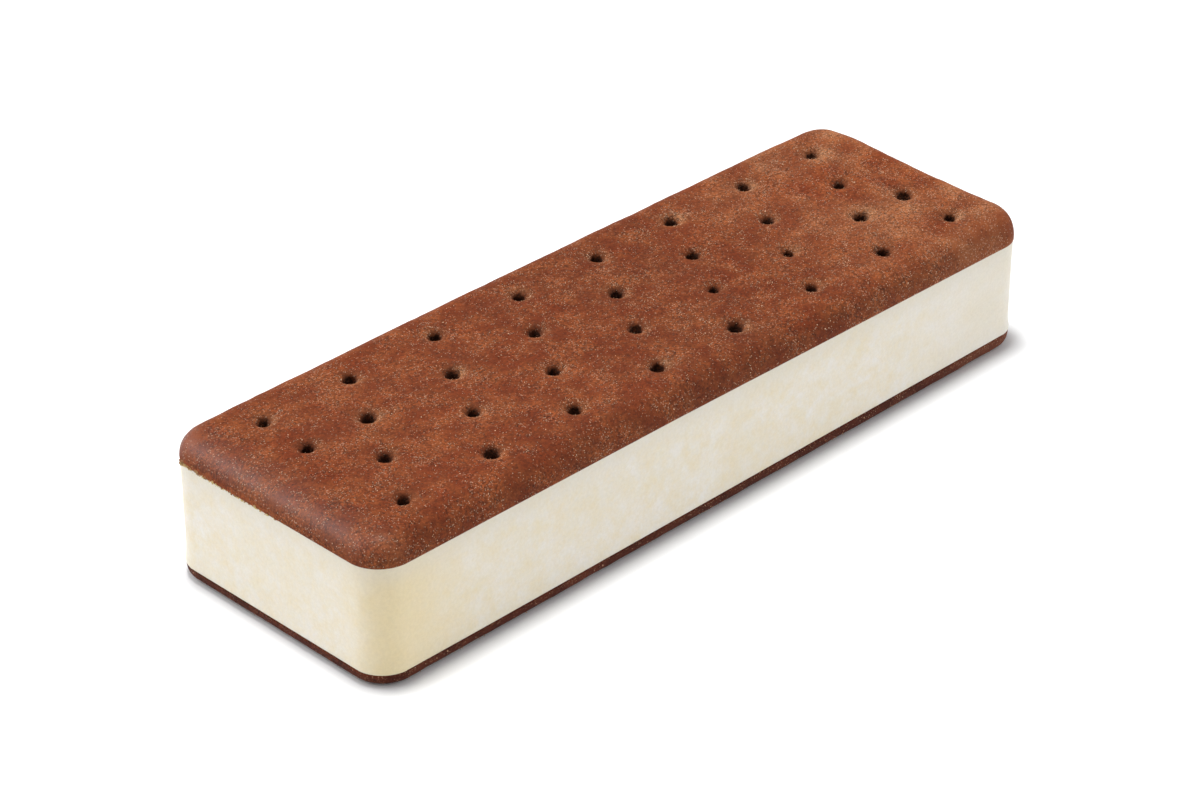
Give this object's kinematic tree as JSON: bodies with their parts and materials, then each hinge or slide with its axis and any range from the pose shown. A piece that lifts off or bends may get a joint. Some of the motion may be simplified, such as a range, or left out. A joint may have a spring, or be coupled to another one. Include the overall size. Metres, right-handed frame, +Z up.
{
  "type": "ice cream sandwich",
  "caption": "Rectangular ice cream sandwich: a block of vanilla ice cream between a thicker and a thinner chocolate wafer, both with rounded corners and rows of docking holes.",
  "frame": {"origin": "middle of the underside of the bottom wafer, where the sandwich rests", "axes": "+X along the length, +Y across the width, +Z up through the top wafer"},
  "size_m": [0.13, 0.0426, 0.0227],
  "materials": {
    "chocolate_wafer": "matt baked crust, dry and finely crumbed",
    "vanilla_ice_cream": "satin, frozen and faintly grained"
  },
  "bodies": {
    "root": {"wafer_bottom": "chocolate_wafer", "ice_cream": "vanilla_ice_cream", "wafer_top": "chocolate_wafer"}
  },
  "joints": []
}
